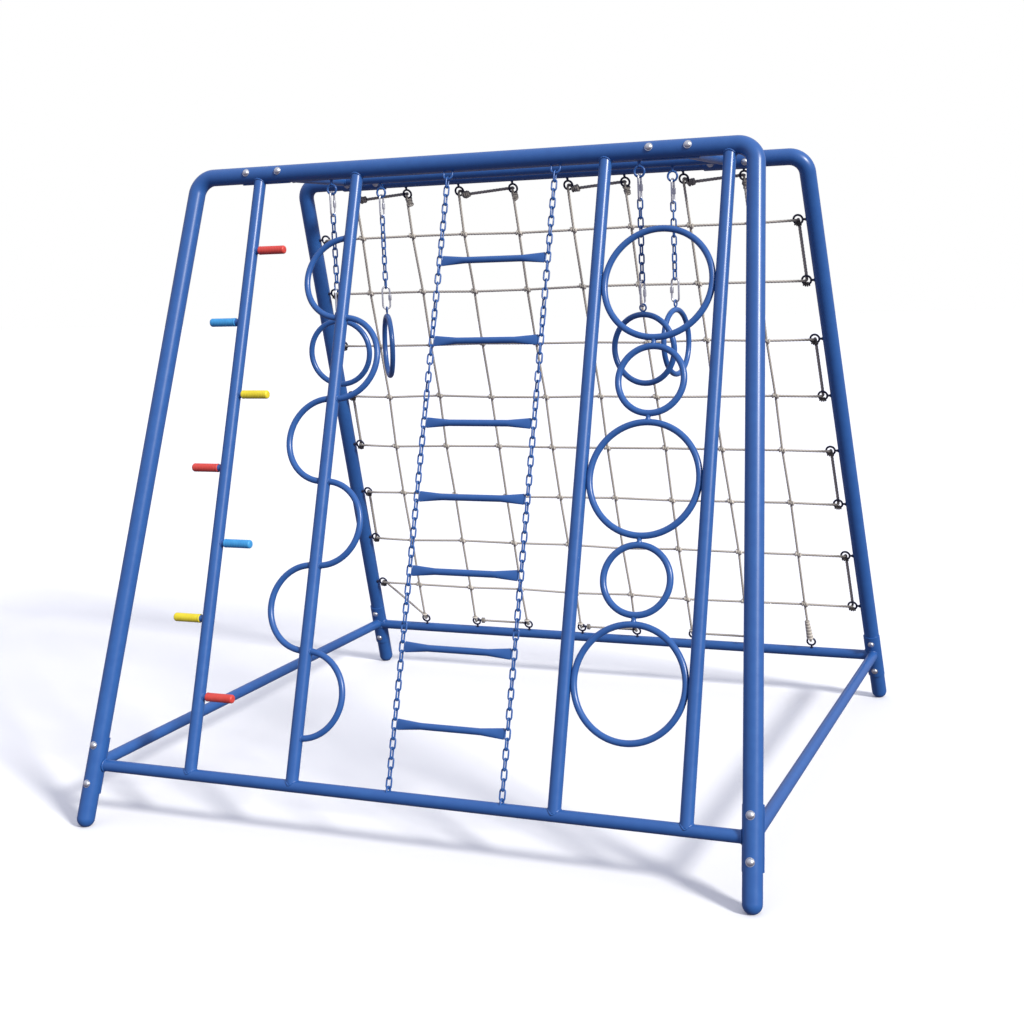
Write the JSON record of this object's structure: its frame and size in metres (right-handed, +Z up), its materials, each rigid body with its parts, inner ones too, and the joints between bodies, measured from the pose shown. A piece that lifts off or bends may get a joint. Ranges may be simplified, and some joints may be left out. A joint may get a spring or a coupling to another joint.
{
  "type": "children's climbing frame",
  "caption": "Free-standing steel-tube climbing frame for children: leaning arches carry a peg pole, a loop pole, a chain ladder, a ring column, a laced rope net and hanging hand rings.",
  "frame": {"origin": "on the floor, midway between the four feet", "axes": "+X along the top bars, towards the ring column; -Y is the front with the poles and ladder; +Z up"},
  "size_m": [2.3868, 2.2418, 2.2304],
  "materials": {
    "blue_paint": "smooth gloss powder coat",
    "deep_blue_paint": "gloss powder coat",
    "zinc": "bright zinc plate",
    "grip_red": "moulded plastic",
    "grip_light_blue": "moulded plastic",
    "grip_yellow": "moulded plastic",
    "rope": "laid rope"
  },
  "bodies": {
    "frame": {"front_bar": "blue_paint", "rear_bar": "blue_paint", "elbows": "blue_paint", "front_left_leg": "blue_paint", "front_right_leg": "blue_paint", "rear_left_leg": "blue_paint", "rear_right_leg": "blue_paint", "foot_caps": "blue_paint", "corner_saddles": "blue_paint", "corner_bolts": "zinc", "corner_nuts": "zinc", "front_rail": "blue_paint", "rear_rail": "blue_paint", "left_rail": "blue_paint", "right_rail": "blue_paint", "left_tie": "blue_paint", "right_tie": "blue_paint", "tie_saddles": "blue_paint", "tie_bolts": "zinc", "tie_nuts": "zinc", "front_ring_tube": "blue_paint", "rear_ring_tube": "blue_paint", "bar_eyes": "blue_paint", "peg_pole": "blue_paint", "peg_studs": "blue_paint", "grips_red": "grip_red", "grips_light_blue": "grip_light_blue", "grips_yellow": "grip_yellow", "loop_pole": "blue_paint", "pole_loops": "blue_paint", "ring_pole_left": "blue_paint", "ring_pole_right": "blue_paint", "large_rings": "blue_paint", "small_rings": "blue_paint", "ring_spacers": "blue_paint", "top_staples": "blue_paint", "bottom_staples": "blue_paint", "net_eyes_top": "deep_blue_paint", "net_eyes_bottom": "deep_blue_paint", "net_eyes_left": "deep_blue_paint", "net_eyes_right": "deep_blue_paint", "net_rope": "rope"},
    "hanger_1": {"quick_links_1": "zinc", "hanger_chain_1": "blue_paint"},
    "ring_1": {"hand_ring_1": "blue_paint"},
    "hanger_2": {"quick_links_2": "zinc", "hanger_chain_2": "blue_paint"},
    "ring_2": {"hand_ring_2": "blue_paint"},
    "hanger_3": {"quick_links_3": "zinc", "hanger_chain_3": "blue_paint"},
    "ring_3": {"hand_ring_3": "blue_paint"},
    "hanger_4": {"quick_links_4": "zinc", "hanger_chain_4": "blue_paint"},
    "ring_4": {"hand_ring_4": "blue_paint"},
    "ladder_upper": {"ladder_chain_upper": "blue_paint", "rungs_upper": "blue_paint"},
    "ladder_lower": {"ladder_chain_lower": "blue_paint", "rungs_lower": "blue_paint"}
  },
  "joints": [
    {"name": "hanger_1_swing", "type": "hinge", "parent": "frame", "child": "hanger_1", "pos_m": [-0.59, -0.19, 2.145], "axis": [0, 1, 0], "range_deg": [-30, 30]},
    {"name": "ring_1_swing", "type": "hinge", "parent": "hanger_1", "child": "ring_1", "pos_m": [-0.59, -0.19, 1.6949], "axis": [-0.0634, 0.998, 0], "range_deg": [-20, 20]},
    {"name": "hanger_2_swing", "type": "hinge", "parent": "frame", "child": "hanger_2", "pos_m": [-0.59, 0.19, 2.145], "axis": [0, 1, 0], "range_deg": [-30, 30]},
    {"name": "ring_2_swing", "type": "hinge", "parent": "hanger_2", "child": "ring_2", "pos_m": [-0.59, 0.19, 1.6949], "axis": [0.766, 0.6428, 0], "range_deg": [-20, 20]},
    {"name": "hanger_3_swing", "type": "hinge", "parent": "frame", "child": "hanger_3", "pos_m": [0.59, -0.19, 2.145], "axis": [0, 1, 0], "range_deg": [-30, 30]},
    {"name": "ring_3_swing", "type": "hinge", "parent": "hanger_3", "child": "ring_3", "pos_m": [0.59, -0.19, 1.6949], "axis": [0.1893, 0.9819, 0], "range_deg": [-20, 20]},
    {"name": "hanger_4_swing", "type": "hinge", "parent": "frame", "child": "hanger_4", "pos_m": [0.59, 0.19, 2.145], "axis": [0, 1, 0], "range_deg": [-30, 30]},
    {"name": "ring_4_swing", "type": "hinge", "parent": "hanger_4", "child": "ring_4", "pos_m": [0.59, 0.19, 1.6949], "axis": [-0.9718, 0.2358, 0], "range_deg": [-20, 20]},
    {"name": "ladder_upper_sway", "type": "hinge", "parent": "frame", "child": "ladder_upper", "pos_m": [0.166, -0.38307, 2.14489], "axis": [1, 0, 0], "range_deg": [-2.5, 2.5]},
    {"name": "ladder_lower_sway", "type": "hinge", "parent": "frame", "child": "ladder_lower", "pos_m": [0.166, -1.01211, 0.22578], "axis": [1, 0, 0], "range_deg": [-3.05, 3.05]}
  ],
  "couplings": [
    {"joint": "ladder_lower_sway", "follows": "ladder_upper_sway", "ratio": -1.2047}
  ]
}
